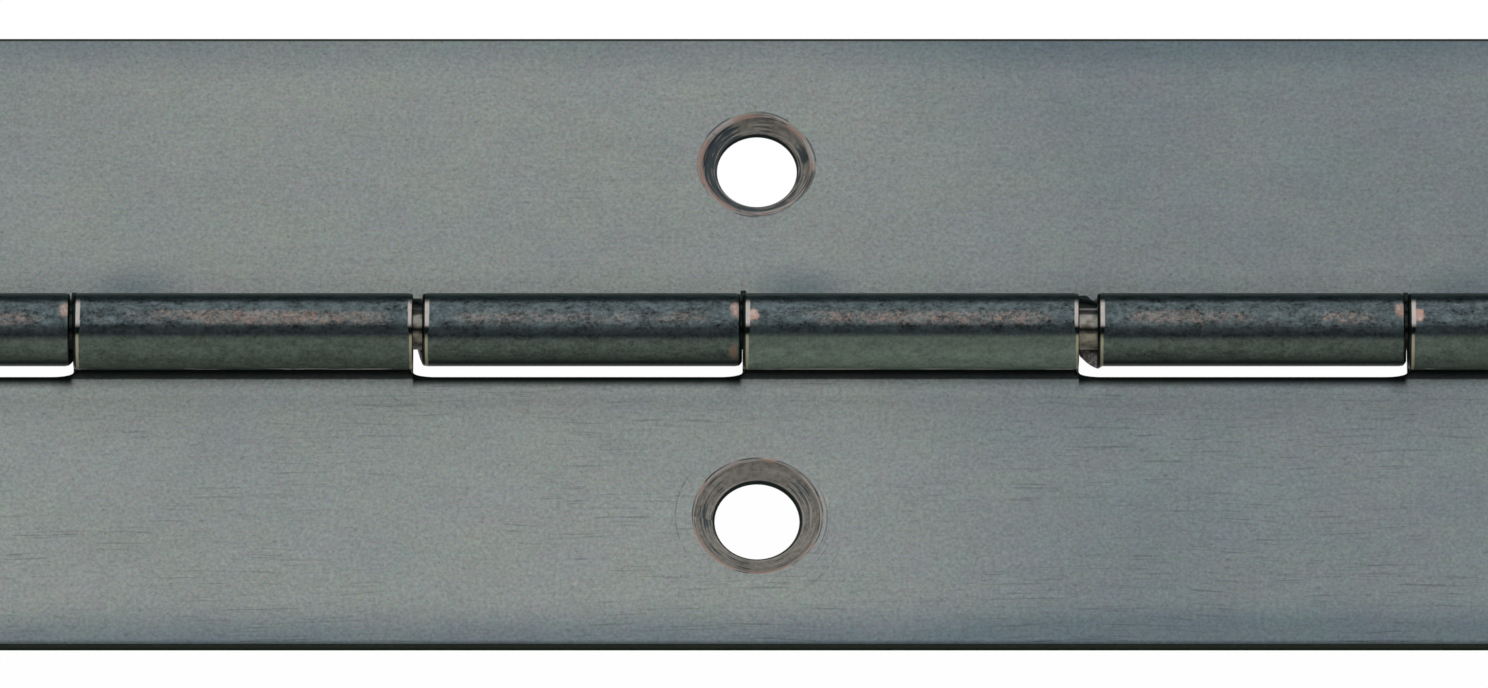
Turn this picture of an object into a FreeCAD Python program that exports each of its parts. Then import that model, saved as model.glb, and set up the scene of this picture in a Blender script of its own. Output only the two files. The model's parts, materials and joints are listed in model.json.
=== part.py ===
"""Continuous (piano) hinge, open flat: two rolled sheet leaves turning on one wire pin.

Frame: +X along the pin, +Y from the pin towards the upper leaf, +Z out of the countersunk faces.
The leaves' backs lie on z = 0, the pin's axis is above y = 0, and x = 0 is the middle of the length.
Sizes are in millimetres and degrees.
"""
import FreeCAD, Part
import math
import os
import Sketcher

# Name, value and meaning of each driving size.
SIZES = [
    ("knuckle_pairs", 6, "knuckles on each leaf"),
    ("lower_knuckle", 12.74, "length of the lower leaf's knuckles"),
    ("upper_knuckle", 11.87, "length of the upper leaf's knuckles"),
    ("narrow_gap", 0.15, "between an upper knuckle and the lower knuckle to its right"),
    ("wide_gap", 0.64, "between a lower knuckle and the upper knuckle to its right"),
    ("leaf_width", 13.1, "from the pin's axis to a leaf's free edge"),
    ("sheet_thickness", 0.55, "thickness of both leaves"),
    ("pin_diameter", 1.5875, "one sixteenth of an inch"),
    ("pin_clearance", 0.02, "radial, between the pin and the knuckles that turn on it"),
    ("pin_recess", 0.3, "from a leaf's end to the pin's end"),
    ("pin_chamfer", 0.2, "at both ends of the pin"),
    ("grip_share", 0.5, "share of the first lower knuckle that grips the pin"),
    ("notch_clearance", 0.3, "from a barrel to the notch in the other leaf"),
    ("notch_corner", 0.3, "radius of the notch's corners"),
    ("curl_end_angle", 9, "where a curl runs out straight, below the pin's level"),
    ("curl_end_gap", 0.07, "between a curl's end and its leaf's front"),
    ("rim_rounding", 0.1, "rounding of the knuckles' outer rims"),
    ("hole_diameter", 3.16, "screw holes"),
    ("hole_spacing", 50.8, "between the screw holes of a leaf"),
    ("hole_shift", 0.54, "from the middle of the length to the middle of the row of holes"),
    ("hole_line_shift", 0.17, "from the middle of a leaf's flat part to its row of holes"),
    ("hole_end_distance", 20, "least distance from a leaf's end to a hole"),
    ("countersink_angle", 120, "full angle of the countersinks"),
    ("hole_land", 0.1, "straight part of a screw hole, under its countersink"),
]

# What follows from the driving sizes, as formulas on the sheet's cells.
PITCH = "(sizes.lower_knuckle + sizes.upper_knuckle + sizes.narrow_gap + sizes.wide_gap)"
LENGTH = f"({PITCH} * sizes.knuckle_pairs)"
BORE_RADIUS = "(sizes.pin_diameter / 2 + sizes.pin_clearance)"
BARREL_RADIUS = f"({BORE_RADIUS} + sizes.sheet_thickness)"
NOTCH_DISTANCE = f"({BARREL_RADIUS} + sizes.notch_clearance)"
HOLE_DISTANCE = f"(({NOTCH_DISTANCE} + sizes.leaf_width) / 2 + sizes.hole_line_shift)"
HOLE_COUNT = f"(floor(({LENGTH} - 2 * sizes.hole_end_distance) / sizes.hole_spacing) + 1)"
FIRST_HOLE = f"(sizes.hole_shift - ({HOLE_COUNT} - 1) * sizes.hole_spacing / 2)"
COUNTERSINK = (
    "(sizes.hole_diameter + 2 * (sizes.sheet_thickness - sizes.hole_land)"
    " * tan(sizes.countersink_angle / 2 * 1 deg))"
)
PIN_LENGTH = f"({LENGTH} - 2 * sizes.pin_recess)"
PIN_START = f"(sizes.pin_recess - {LENGTH} / 2)"
LOWER_NOTCH_START = f"(sizes.lower_knuckle + sizes.narrow_gap / 2 - {LENGTH} / 2)"
UPPER_NOTCH_START = f"(-sizes.narrow_gap / 2 - {LENGTH} / 2)"

# How a sketch's constraints name the ends and the centre of a line or arc.
START, END, CENTRE = range(1, 4)

# A sketch's own horizontal and vertical axes; the horizontal one starts at the origin.
HORIZONTAL_AXIS, VERTICAL_AXIS = range(-1, -3, -1)
ORIGIN = (HORIZONTAL_AXIS, START)

# Upper and lower leaf: which way along Y each lies from the pin.
UPPER, LOWER = range(1, -2, -2)

TOLERANCE = 1e-6


def make_sheet(doc):
    """The spreadsheet of driving sizes: name, value and meaning in each row."""
    sheet = doc.addObject("Spreadsheet::Sheet", "sizes")
    for row, (alias, value, meaning) in enumerate(SIZES, start=1):
        sheet.set(f"A{row}", alias)
        sheet.set(f"B{row}", str(value))
        sheet.set(f"C{row}", meaning)
        sheet.setAlias(f"B{row}", alias)
    doc.recompute()
    return sheet


def worked_out(sheet, formula):
    """The present value of a formula on the sheet's cells."""
    value = sheet.evalExpression(formula)
    return float(getattr(value, "Value", value))


def datum(body, role):
    """One of a body's own origin planes or axes."""
    return next(item for item in body.Origin.OriginFeatures if item.Role == role)


def new_sketch(body, name, plane, height="0"):
    """A sketch on a body's origin plane, lifted along the plane's normal."""
    sketch = body.newObject("Sketcher::SketchObject", name)
    sketch.AttachmentSupport = [(datum(body, plane), "")]
    sketch.MapMode = "FlatFace"
    sketch.setExpression("AttachmentOffset.Base.z", height)
    return sketch


def point(x, y):
    return FreeCAD.Vector(x, y, 0)


def add_line(sketch, start, end):
    return sketch.addGeometry(Part.LineSegment(start, end))


def add_arc(sketch, start, middle, end):
    return sketch.addGeometry(Part.Arc(start, middle, end))


def add_circle(sketch, centre, radius):
    return sketch.addGeometry(Part.Circle(centre, FreeCAD.Vector(0, 0, 1), radius))


def dimension(sketch, name, formula, kind, *where):
    """Adds a named dimension that follows a formula on the sheet's cells."""
    value = worked_out(sketch.Document.sizes, formula)
    if kind == "Angle":
        value = math.radians(value)
    index = sketch.addConstraint(Sketcher.Constraint(kind, *where, value))
    sketch.renameConstraint(index, name)
    sketch.setExpression(f"Constraints.{name}", formula)


def relate(sketch, kind, *where):
    sketch.addConstraint(Sketcher.Constraint(kind, *where))


def settle(sketch):
    """Solves a sketch, which has to be fully determined."""
    if sketch.solve() != 0:
        raise RuntimeError(f"{sketch.Name} has no solution")
    sketch.Document.recompute()
    if not sketch.FullyConstrained:
        raise RuntimeError(f"{sketch.Name} isn't fully determined")


def check_cut(feature, before):
    """A cut that points away from the solid takes nothing off it."""
    feature.Document.recompute()
    if feature.Shape.Volume > before - TOLERANCE:
        raise RuntimeError(f"{feature.Name} cuts nothing")


def section_sketch(body, side):
    """The rolled sheet's section: flat leaf, curl round the pin, and a straight end above the leaf."""
    sheet = body.Document.sizes
    bore = worked_out(sheet, BORE_RADIUS)
    barrel = worked_out(sheet, BARREL_RADIUS)
    thickness = sheet.sheet_thickness
    width = side * sheet.leaf_width
    turn = math.radians(sheet.curl_end_angle)
    axis = point(0, barrel)
    outward = point(side * math.cos(turn), -math.sin(turn))
    onward = point(-side * math.sin(turn), -math.cos(turn))
    outer_end = axis + outward * barrel
    inner_end = axis + outward * bore
    run = onward * ((outer_end.y - thickness - sheet.curl_end_gap) / math.cos(turn))

    sketch = new_sketch(body, f"{body.Name}_section", "YZ_Plane")
    back = add_line(sketch, point(width, 0), point(0, 0))
    outer = add_arc(sketch, point(0, 0), axis + point(0, barrel), outer_end)
    outer_run = add_line(sketch, outer_end, outer_end + run)
    end_face = add_line(sketch, outer_end + run, inner_end + run)
    inner_run = add_line(sketch, inner_end + run, inner_end)
    inner = add_arc(sketch, inner_end, axis + point(0, bore), point(0, thickness))
    front = add_line(sketch, point(0, thickness), point(width, thickness))
    free_edge = add_line(sketch, point(width, thickness), point(width, 0))

    # A sketch counts an arc's ends anticlockwise, so the two leaves use them the other way round.
    low, high = (END, START) if side == UPPER else (START, END)
    relate(sketch, "Coincident", back, END, *ORIGIN)
    relate(sketch, "Tangent", back, END, outer, low)
    relate(sketch, "Tangent", outer, high, outer_run, START)
    relate(sketch, "Coincident", outer_run, END, end_face, START)
    relate(sketch, "Coincident", end_face, END, inner_run, START)
    relate(sketch, "Tangent", inner_run, END, inner, high)
    relate(sketch, "Tangent", inner, low, front, START)
    relate(sketch, "Coincident", front, END, free_edge, START)
    relate(sketch, "Coincident", free_edge, END, back, START)
    relate(sketch, "Coincident", inner, CENTRE, outer, CENTRE)
    relate(sketch, "Horizontal", back)
    relate(sketch, "Horizontal", front)
    relate(sketch, "Vertical", free_edge)
    relate(sketch, "Perpendicular", outer_run, end_face)
    relate(sketch, "Parallel", outer_run, inner_run)
    dimension(sketch, "leaf_width", "sizes.leaf_width", "Distance", back)
    dimension(sketch, "bore_radius", BORE_RADIUS, "Radius", inner)
    dimension(sketch, "barrel_radius", BARREL_RADIUS, "Radius", outer)
    dimension(sketch, "curl_end", f"-90 - {side} * sizes.curl_end_angle", "Angle", outer_run)
    height = "sizes.sheet_thickness + sizes.curl_end_gap"
    dimension(sketch, "curl_end_height", height, "DistanceY", *ORIGIN, outer_run, END)
    settle(sketch)
    return sketch


def notch_sketch(body, side, start, width):
    """The outline of a leaf's first notch, open across the barrel, with both inner corners rounded."""
    sheet = body.Document.sizes
    left = worked_out(sheet, start)
    right = left + worked_out(sheet, width)
    bottom = side * worked_out(sheet, NOTCH_DISTANCE)
    top = -side * worked_out(sheet, NOTCH_DISTANCE)
    radius = sheet.notch_corner
    corner = side * radius
    bulge = radius * (1 - math.sqrt(0.5))

    sketch = new_sketch(body, f"{body.Name}_notch_outline", "XY_Plane")
    left_side = add_line(sketch, point(left, top), point(left, bottom - corner))
    left_corner = add_arc(
        sketch,
        point(left, bottom - corner),
        point(left + bulge, bottom - side * bulge),
        point(left + radius, bottom),
    )
    floor = add_line(sketch, point(left + radius, bottom), point(right - radius, bottom))
    right_corner = add_arc(
        sketch,
        point(right - radius, bottom),
        point(right - bulge, bottom - side * bulge),
        point(right, bottom - corner),
    )
    right_side = add_line(sketch, point(right, bottom - corner), point(right, top))
    mouth = add_line(sketch, point(right, top), point(left, top))

    first, second = (START, END) if side == LOWER else (END, START)
    relate(sketch, "Tangent", left_side, END, left_corner, first)
    relate(sketch, "Tangent", left_corner, second, floor, START)
    relate(sketch, "Tangent", floor, END, right_corner, first)
    relate(sketch, "Tangent", right_corner, second, right_side, START)
    relate(sketch, "Coincident", right_side, END, mouth, START)
    relate(sketch, "Coincident", mouth, END, left_side, START)
    relate(sketch, "Vertical", left_side)
    relate(sketch, "Vertical", right_side)
    relate(sketch, "Horizontal", floor)
    relate(sketch, "Horizontal", mouth)
    relate(sketch, "Equal", left_corner, right_corner)
    dimension(sketch, "corner", "sizes.notch_corner", "Radius", left_corner)
    dimension(sketch, "start", start, "DistanceX", *ORIGIN, left_side, START)
    dimension(sketch, "width", width, "DistanceX", left_side, START, right_side, END)
    dimension(sketch, "floor", f"{side} * {NOTCH_DISTANCE}", "DistanceY", *ORIGIN, floor, START)
    dimension(sketch, "mouth", f"{-side} * {NOTCH_DISTANCE}", "DistanceY", *ORIGIN, mouth, START)
    settle(sketch)
    return sketch


def hole_sketch(body, side):
    """One circle at the first screw hole of the row, on the leaf's front."""
    sheet = body.Document.sizes
    x = worked_out(sheet, FIRST_HOLE)
    y = side * worked_out(sheet, HOLE_DISTANCE)
    sketch = new_sketch(body, f"{body.Name}_first_hole", "XY_Plane", "sizes.sheet_thickness")
    circle = add_circle(sketch, point(x, y), sheet.hole_diameter / 2)
    dimension(sketch, "along", FIRST_HOLE, "DistanceX", *ORIGIN, circle, CENTRE)
    dimension(sketch, "across", f"{side} * {HOLE_DISTANCE}", "DistanceY", *ORIGIN, circle, CENTRE)
    dimension(sketch, "diameter", "sizes.hole_diameter", "Diameter", circle)
    settle(sketch)
    return sketch


def repeat(body, feature, count, spacing):
    """Repeats a cut along the hinge."""
    row = body.newObject("PartDesign::LinearPattern", f"{feature.Name}_row")
    row.Originals = [feature]
    row.Direction = (datum(body, "X_Axis"), [""])
    row.Mode = "Spacing"
    row.setExpression("Occurrences", count)
    row.setExpression("Offset", spacing)
    body.Tip = row
    body.Document.recompute()
    if row.Occurrences > 1:
        check_cut(row, feature.Shape.Volume)


def cut_notches(body, side, start, width):
    """The notches that leave room for the other leaf's knuckles."""
    before = body.Shape.Volume
    notch = body.newObject("PartDesign::Pocket", f"{body.Name}_notch")
    notch.Profile = notch_sketch(body, side, start, width)
    notch.Type = "ThroughAll"
    notch.Reversed = True
    check_cut(notch, before)
    repeat(body, notch, "sizes.knuckle_pairs", PITCH)


def drill_holes(body, side):
    """The row of countersunk screw holes."""
    before = body.Shape.Volume
    sketch = hole_sketch(body, side)
    hole = body.newObject("PartDesign::Hole", f"{body.Name}_hole")
    hole.Profile = sketch
    body.Document.recompute()
    hole.ThreadType = "None"
    hole.DepthType = "ThroughAll"
    hole.HoleCutType = "Countersink"
    hole.HoleCutCustomValues = True
    hole.setExpression("Diameter", "sizes.hole_diameter")
    hole.setExpression("HoleCutCountersinkAngle", "sizes.countersink_angle")
    hole.setExpression("HoleCutDiameter", COUNTERSINK)
    check_cut(hole, before)
    repeat(body, hole, HOLE_COUNT, "sizes.hole_spacing")


def round_rims(body):
    """Rounds the outer rims of the knuckles; each rounding runs on along the back of its notch."""
    barrel = worked_out(body.Document.sizes, BARREL_RADIUS)
    cut = body.Tip
    rims = []
    for number, edge in enumerate(cut.Shape.Edges, start=1):
        if edge.Curve.TypeId == "Part::GeomCircle" and abs(edge.Curve.Radius - barrel) < TOLERANCE:
            rims.append(f"Edge{number}")
    before = cut.Shape.Volume
    rounding = body.newObject("PartDesign::Fillet", f"{body.Name}_rims")
    rounding.Base = (cut, rims)
    rounding.setExpression("Radius", "sizes.rim_rounding")
    check_cut(rounding, before)


def make_leaf(doc, label, side, notch_start, own_knuckle):
    """A leaf: the rolled strip, its notches, its screw holes and the rounded rims of its knuckles."""
    body = doc.addObject("PartDesign::Body", label)
    body.Label = label
    strip = body.newObject("PartDesign::Pad", f"{label}_strip")
    strip.Profile = section_sketch(body, side)
    strip.SideType = "Symmetric"
    strip.setExpression("Length", LENGTH)
    doc.recompute()
    cut_notches(body, side, notch_start, f"{PITCH} - {own_knuckle}")
    drill_holes(body, side)
    round_rims(body)


def ring_sketch(body, name, radius, along):
    """A circle round the pin's axis, at a place along the hinge."""
    sheet = body.Document.sizes
    height = worked_out(sheet, BARREL_RADIUS)
    sketch = new_sketch(body, name, "YZ_Plane", along)
    circle = add_circle(sketch, point(0, height), worked_out(sheet, radius))
    dimension(sketch, "height", BARREL_RADIUS, "DistanceY", *ORIGIN, circle, CENTRE)
    relate(sketch, "PointOnObject", circle, CENTRE, VERTICAL_AXIS)
    dimension(sketch, "radius", radius, "Radius", circle)
    settle(sketch)
    return sketch


def make_pin(doc):
    """The wire through all the knuckles, swollen where the first lower knuckle grips it."""
    body = doc.addObject("PartDesign::Body", "hinge_pin")
    body.Label = "hinge_pin"
    wire = body.newObject("PartDesign::Pad", "hinge_pin_wire")
    wire.Profile = ring_sketch(body, "hinge_pin_section", "sizes.pin_diameter / 2", PIN_START)
    wire.setExpression("Length", PIN_LENGTH)
    grip = body.newObject("PartDesign::Pad", "hinge_pin_grip")
    grip.Profile = ring_sketch(body, "hinge_pin_grip_section", BORE_RADIUS, PIN_START)
    grip.setExpression("Length", "sizes.grip_share * sizes.lower_knuckle")
    doc.recompute()
    left = worked_out(doc.sizes, PIN_START)
    ends = []
    for number, edge in enumerate(grip.Shape.Edges, start=1):
        if abs(abs(edge.CenterOfMass.x) + left) < TOLERANCE:
            ends.append(f"Edge{number}")
    before = grip.Shape.Volume
    chamfer = body.newObject("PartDesign::Chamfer", "hinge_pin_ends")
    chamfer.Base = (grip, ends)
    chamfer.setExpression("Size", "sizes.pin_chamfer")
    check_cut(chamfer, before)


def check_model(doc, labels):
    """Stops if anything in the document has failed or a piece has no sound solid."""
    for item in doc.Objects:
        if "Invalid" in item.State or "Error" in item.State:
            raise RuntimeError(f"{item.Label} has failed: {item.State}")
    for label in labels:
        shape = doc.getObjectsByLabel(label)[0].Shape
        if shape.isNull() or not shape.isValid() or len(shape.Solids) != 1:
            raise RuntimeError(f"{label} isn't one sound solid")


doc = FreeCAD.newDocument("piano_hinge")
make_sheet(doc)
make_leaf(doc, "upper_leaf", UPPER, UPPER_NOTCH_START, "sizes.upper_knuckle")
make_leaf(doc, "lower_leaf", LOWER, LOWER_NOTCH_START, "sizes.lower_knuckle")
make_pin(doc)
doc.recompute()

PIECES = ["upper_leaf", "lower_leaf", "hinge_pin"]
check_model(doc, PIECES)
os.makedirs("parts", exist_ok=True)
for label in PIECES:
    shape = doc.getObjectsByLabel(label)[0].Shape
    shape.exportStep(f"parts/{label}.step")
    print(f"{label}: {shape.Volume:.3f} mm3")
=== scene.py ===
"""Piano hinge: the looks of a continuous hinge, built round its packed CAD model.

Two leaves of rolled sheet metal share one pin. Each leaf is worked the way a press shop works it: a flat
blank, notches along one edge, tabs curled into knuckles, holes countersunk from the front, edges tumbled.
The finish is a dark patina over copper plating, which is rubbed through where the knuckles are handled.
Meshes are worked in millimetres and scaled to metres when they are finished.
"""

import json
import math
from types import SimpleNamespace

import bmesh
import bpy
from bmesh.types import BMEdge, BMVert
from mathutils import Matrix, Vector


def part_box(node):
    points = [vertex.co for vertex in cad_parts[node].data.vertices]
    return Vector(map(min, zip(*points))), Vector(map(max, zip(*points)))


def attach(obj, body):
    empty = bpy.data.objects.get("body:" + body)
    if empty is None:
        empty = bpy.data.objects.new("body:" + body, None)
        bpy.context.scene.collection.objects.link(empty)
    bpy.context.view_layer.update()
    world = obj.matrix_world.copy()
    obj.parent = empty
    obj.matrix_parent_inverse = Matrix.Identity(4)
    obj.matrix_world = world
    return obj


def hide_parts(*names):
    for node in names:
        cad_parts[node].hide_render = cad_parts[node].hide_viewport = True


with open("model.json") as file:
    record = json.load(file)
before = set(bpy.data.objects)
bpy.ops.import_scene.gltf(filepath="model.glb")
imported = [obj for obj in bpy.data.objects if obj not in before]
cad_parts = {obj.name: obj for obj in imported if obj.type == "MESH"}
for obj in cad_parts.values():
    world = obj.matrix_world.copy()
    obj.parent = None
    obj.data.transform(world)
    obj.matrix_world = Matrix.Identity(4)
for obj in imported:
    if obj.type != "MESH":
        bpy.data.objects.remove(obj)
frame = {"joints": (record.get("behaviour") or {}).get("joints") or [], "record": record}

bl_info = {
    "name": "Piano Hinge",
    "version": (1, 0, 0),
    "blender": (4, 5, 0),
    "location": "View3D > Sidebar > Hinge",
    "description": "Builds a continuous hinge, its pin and a studio round them",
    "category": "Mesh",
}

MM = 0.001
LOWER = -1
UPPER = 1

# In millimetres: what counts as one place, as on the barrel and as beside it.
NEAR = 1e-4
ON_BARREL = 0.01
BESIDE_BARREL = 0.15
# In millimetres: half the cell that a hole is worked in, how far behind the notches the tabs' slits reach,
# and the flat that is worked round a countersink.
CELL = 3.6
STRIP = 1.0
COLLAR = 0.3

# In degrees: where a lower curl starts to stand out of round, and over what turn it does. In radians: the
# angle from which an edge is sharp.
BULGE_START = 45.0
BULGE_TURN = 75.0
SHARP = math.radians(35)

# How much of the sway the right ends of the lower and of the upper knuckles take.
END_SWAY = 0.6
NEXT_SWAY = 1.5

# The steps of a countersink's rim and of its shoulder, from outside in: how far outside the rim, how far
# above the front, and with what share of the rim's waves. Then how high the rings stand that the tool left
# in the cone, and how far to the left the throat lies.
RIM = [(0.12, 0.0, 0.6), (0.06, 0.012, 1.0), (0.01, 0.0, 1.0)]
SHOULDERS = {
    LOWER: [(-0.05, -0.045, 1.0)],
    UPPER: [(-0.03, -0.02, 1.0), (-0.20, -0.06, 0.9), (-0.24, -0.12, 0.9)],
}
TOOL_RINGS = (0.010, -0.016, 0.012, -0.014, 0.016, -0.014, 0.010)
LEAN_LEFT = 0.02

# The rim's waves: the strengths of four, one and seven of them, and how far the one is turned.
FOUR_WAVES = 0.35
ONE_WAVE = 0.8
SEVEN_WAVES = 0.25
WAVE_TURN = 2.6

# Where the count of knuckles starts: this far before a lower knuckle's pair, and this far into an upper's.
EARLY = 6.0
# Seeds of what each knuckle draws: how bright its front is, which also picks the lower knuckles that get
# painted light low on their front, and how far its crest is rubbed.
SEEDS = (325.0, 290.0)

# What differs between the leaves: the lower leaf's value and the upper leaf's.
BY_SIDE = {
    "rim_waves": (0.014, 0.034),  # strength of the rim's waves, as a share of its radius
    "throat_room": (0.03, -0.055),  # how much wider than the CAD's hole the throat is, in radius
    "lean_in": (-0.01, 0.05),  # how much nearer the pin the throat lies
    "deepening": (0.85, 0.55),  # how much the patina deepens at the free edge
    "rub": (0.12, 0.22),  # strength of the lengthwise grain
    "front_turn": (0.0, 3.0),  # how many degrees lower the dull front starts
    "blob": (0.85, 0.55),  # strength of the worn patches beside the ends
    "ring_inset": (0.11, 0.09),  # how far from a left end its bare ring starts
    "facing_turn": (2.4, 2.9),  # which way the copper side of a countersink faces, in radians
    "leaning": (0.0, 0.14),  # how much darker the cone is on that side
    "wall_start": (0.35, 0.49),  # from what strength of a streak on the cone is light
    "lip_inset": (0.01, 0.10),  # how far inside the rim the lip's middle lies
    "lip_width": (0.10, 0.14),  # how far the lip reaches to either side
    "throat_line": (0.08, 0.02),  # how far beside the throat the soot reaches
}

# The stage, in metres, and the colour of its room.
FLOOR_HALF = 3.0
LAMP_DISTANCE = 0.9
ROOM_TINT = (0.94, 0.98, 1.0, 1.0)


# ---------------------------------------------------------------- what the CAD model gives


def cad_sizes():
    """The sizes that the packed model already holds, in millimetres."""
    low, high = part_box("lower_leaf")
    pin_low, pin_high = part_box("hinge_pin")
    screws = next(m for m in frame["record"]["mounts"] if m["name"] == "lower_leaf_screws")
    return SimpleNamespace(
        half_length=high.x / MM,
        leaf_width=-low.y / MM,
        barrel_radius=frame["joints"][0]["pos_m"][2] / MM,
        pin_ends=(pin_low.x / MM, pin_high.x / MM),
        hole_radius=screws["dims"]["hole_r_mm"],
        hole_shift=screws["pos_m"][0] / MM,
        hole_distance=-screws["pos_m"][1] / MM,
        hole_span=screws["dims"]["spacing_x_mm"],
    )


CAD = cad_sizes()


# ---------------------------------------------------------------- properties


def length(name, description, value):
    """A length property, given in millimetres and kept in metres."""
    kind = {"min": 0.0, "precision": 5, "unit": "LENGTH", "subtype": "DISTANCE"}
    return bpy.props.FloatProperty(name=name, description=description, default=value * MM, **kind)


def angle(name, description, value):
    """An angle property, given in degrees and kept in radians."""
    return bpy.props.FloatProperty(
        name=name, description=description, default=math.radians(value), unit="ROTATION", subtype="ANGLE"
    )


def share(name, description, value, top=1.0):
    """A plain number from nothing to top."""
    return bpy.props.FloatProperty(name=name, description=description, default=value, min=0.0, max=top)


def colour(name, description, value):
    """A colour property, as linear red, green and blue."""
    return bpy.props.FloatVectorProperty(
        name=name, description=description, default=value, size=3, min=0.0, max=1.0, subtype="COLOR"
    )


def count(name, description, value):
    """A whole number property."""
    return bpy.props.IntProperty(name=name, description=description, default=value, min=1)


class HingeSizes(bpy.types.PropertyGroup):
    """Sizes that the packed model doesn't name."""

    pairs: count("Knuckle pairs", "Pairs of knuckles along the hinge", 6)
    lower_knuckle: length("Lower knuckle", "From the start of a pair to the end of its lower knuckle", 12.80)
    lead: length("Lead", "How far a lower knuckle starts before its pair", 0.07)
    sway: length("Sway", "How much the lead differs from pair to pair, in turn more and less", 0.04)
    narrow_gap: length("Narrow gap", "Gap right of a knuckle of the upper leaf", 0.11)
    wide_gap: length("Wide gap", "Mean gap left of a knuckle of the upper leaf", 0.535)
    gap_play: length("Gap play", "How far the wide gaps are from their mean, in turn less and more", 0.169)
    thickness: length("Sheet thickness", "Thickness of both leaves", 0.55)
    notch_clearance: length("Notch clearance", "Room between a notch and the barrel", 0.218)
    notch_corner: length("Notch corner", "Depth of the rounded corners of a notch", 0.19)
    corner_stretch: share("Corner stretch", "How much longer than deep a notch's corners are", 4.5, 9.0)
    upper_bulge: length("Upper bulge", "How far the upper leaf's knuckles stand out of round in front", 0.08)
    lower_bulge: length("Lower bulge", "How far the lower leaf's curls stand out where they end", 0.30)
    curl_past: angle("Curl past upright", "How far the curl turns past upright before it runs straight", 9.0)
    curl_gap: length("Curl gap", "Gap between the end of the curl and its leaf", 0.07)
    curl_steps: count("Curl steps", "Steps round a knuckle", 80)
    notch_round: length("Notch rounding", "Rounding of the notches' upper edges", 0.16)
    edge_round: length("Edge rounding", "Rounding of the leaves' other edges", 0.06)
    roll_over: length("Roll-over", "Rounding that shearing left along the lower leaf's free edge", 0.22)
    burnish_width: length("Burnished width", "Width of the sloping ring worn on a knuckle's end", 0.19)
    burnish_depth: length("Burnished depth", "How far the ring slopes in", 0.03)
    crease_depth: length("Crease depth", "How far a tab dips where its curl comes back to it", 0.10)
    root_room: length("Root room", "Gap that a widened upper tab leaves at its root", 0.03)
    flare_turn: angle("Flare turn", "How far round the curl an upper tab is wider", 62.0)
    upper_sink: length("Upper countersink", "Diameter of the upper leaf's countersinks", 4.44)
    lower_sink: length("Lower countersink", "Diameter of the lower leaf's countersinks", 4.86)
    land: length("Countersink land", "Straight part of a hole under its countersink", 0.1)
    sink_stray: length("Countersink stray", "How much nearer the free edge the lower countersinks are", 0.06)
    hole_steps: count("Hole steps", "Steps round a hole, a multiple of four", 96)
    pin_grip: length("Pin grip", "Length of the pin's thicker end", 6.37)
    pin_slack: length("Pin slack", "Room round the pin outside its grip", 0.02)
    pin_chamfer: length("Pin chamfer", "Chamfer at both ends of the pin", 0.2)


class HingeFinish(bpy.types.PropertyGroup):
    """Colours of the finish."""

    leaf_grey: colour("Leaf grey", "Satin patina of the flats", (0.174, 0.189, 0.180))
    leaf_blue: colour("Leaf blue", "Deeper patina near edges and in clouds", (0.082, 0.105, 0.119))
    crest: colour("Crest patina", "Burnished patina along the top of the knuckles", (0.042, 0.055, 0.058))
    front: colour("Front patina", "Duller patina on the front of the knuckles", (0.066, 0.085, 0.068))
    brown: colour("Oxide brown", "Thin oxide over copper", (0.085, 0.066, 0.056))
    olive: colour("Oxide olive", "Oxide in the countersinks", (0.152, 0.144, 0.124))
    ochre: colour("Ochre", "Tarnish on the lower part of the worn rings", (0.340, 0.305, 0.205))
    copper: colour("Rubbed copper", "Copper where the patina is rubbed off", (0.250, 0.165, 0.135))
    rust: colour("Rust", "Worn spots low on the upper leaf's knuckles", (0.1550, 0.1089, 0.0729))
    umber: colour("Umber", "Shaded metal on the countersinks' lips", (0.0510, 0.0396, 0.0336))
    ink: colour("Ink", "Dark streaks in the countersinks", (0.02870, 0.03675, 0.04165))
    # Pale metal is also the painted light on the widened roots of the upper tabs, in the pin's shade.
    pale: colour("Pale metal", "Fresh nicks and the worn roots of tabs", (0.4590, 0.4165, 0.3910))
    # Bare edge is also the painted highlight along the pin's back in every second pair.
    bare: colour("Bare edge", "Bright worn edges of the knuckles", (0.270, 0.245, 0.230))
    # Cut edge is also the painted shade down the lower leaf's rolled-over free edge.
    cut: colour("Cut edge", "Dark oxide where the sheet was cut", (0.014, 0.016, 0.011))
    # Soot is also the painted shade in creases, in the gaps at the knuckles' ends, on their backs, under the
    # upper knuckles and on the pin.
    soot: colour("Soot", "Dark patina left in corners", (0.004, 0.008, 0.007))
    steel: colour("Pin steel", "The pin between the knuckles", (0.165, 0.157, 0.145))
    stain: colour("Pin stain", "Brown film on the pin", (0.070, 0.064, 0.046))


class HingeStudio(bpy.types.PropertyGroup):
    """The camera, lamps and floor."""

    tilt: angle("Camera tilt", "Angle of the view from straight above, towards the lower leaf", 28.17)
    distance: length("Camera distance", "From the camera to the hinge", 765.0)
    view_width: length("View width", "Width of the hinge that the camera sees", 56.66)
    look_shift: length("Look shift", "How far right of the middle the camera looks", 0.027)
    look_drop: length("Look drop", "How far below the pin the camera looks", 0.577)
    key_level: share("Key level", "Brightness of the overhead softbox", 1.7, 4.0)
    low_level: share("Low level", "Brightness of the low softbox", 1.0, 4.0)
    room_level: share("Room level", "Brightness of the room", 0.24, 4.0)
    floor_white: share("Floor white", "Share of the floor that looks plain white", 0.985)


# ---------------------------------------------------------------- mesh tools, in millimetres


def only(kind, items):
    """The items of one kind, such as the edges or the corners that an operator made."""
    return [item for item in items if isinstance(item, kind)]


def middle_of(edge):
    """The middle of an edge."""
    return (edge.verts[0].co + edge.verts[1].co) / 2


def part_of(faces):
    """The given faces with their edges and corners, as the operators want them."""
    found = set(faces)
    for face in faces:
        found.update(face.edges)
        found.update(face.verts)
    return list(found)


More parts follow.
